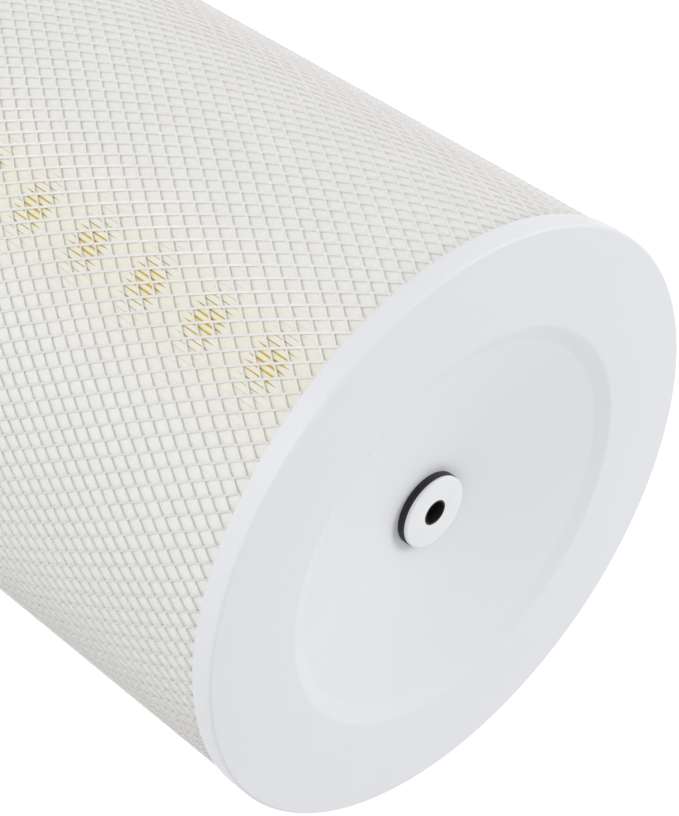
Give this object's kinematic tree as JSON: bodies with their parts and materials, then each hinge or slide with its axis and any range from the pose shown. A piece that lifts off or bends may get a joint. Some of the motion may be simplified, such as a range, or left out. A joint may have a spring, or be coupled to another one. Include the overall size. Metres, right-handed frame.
{
  "type": "dust collector filter cartridge",
  "caption": "Upright pleated filter cartridge: white expanded metal guard, cream pleats, dished closed end cap with a sealing washer at its rod hole, ring end cap with a gasket below.",
  "frame": {"origin": "on the cartridge's axis, in the plane of the end gasket's foot", "axes": "+Z along the cartridge's axis, from the open end up to the closed end cap"},
  "size_m": [0.352, 0.352, 0.672],
  "materials": {
    "cap_paint": "satin white powder coat on stamped steel",
    "guard_paint": "semi-gloss white powder coat on expanded steel",
    "liner_steel": "white powder coat on expanded steel",
    "filter_paper": "matte cream cellulose blend, folded",
    "potting": "cast off-white urethane",
    "foam_rubber": "closed-cell black foam rubber with skin",
    "washer_paint": "satin white on pressed steel",
    "black_rubber": "moulded black rubber"
  },
  "bodies": {
    "root": {"closed_end_cap": "cap_paint", "open_end_cap": "cap_paint", "outer_guard": "guard_paint", "inner_liner": "liner_steel", "pleat_pack": "filter_paper", "closed_end_potting": "potting", "open_end_potting": "potting", "end_gasket": "foam_rubber", "seal_washer_plate": "washer_paint", "seal_washer_rubber": "black_rubber"}
  },
  "joints": []
}
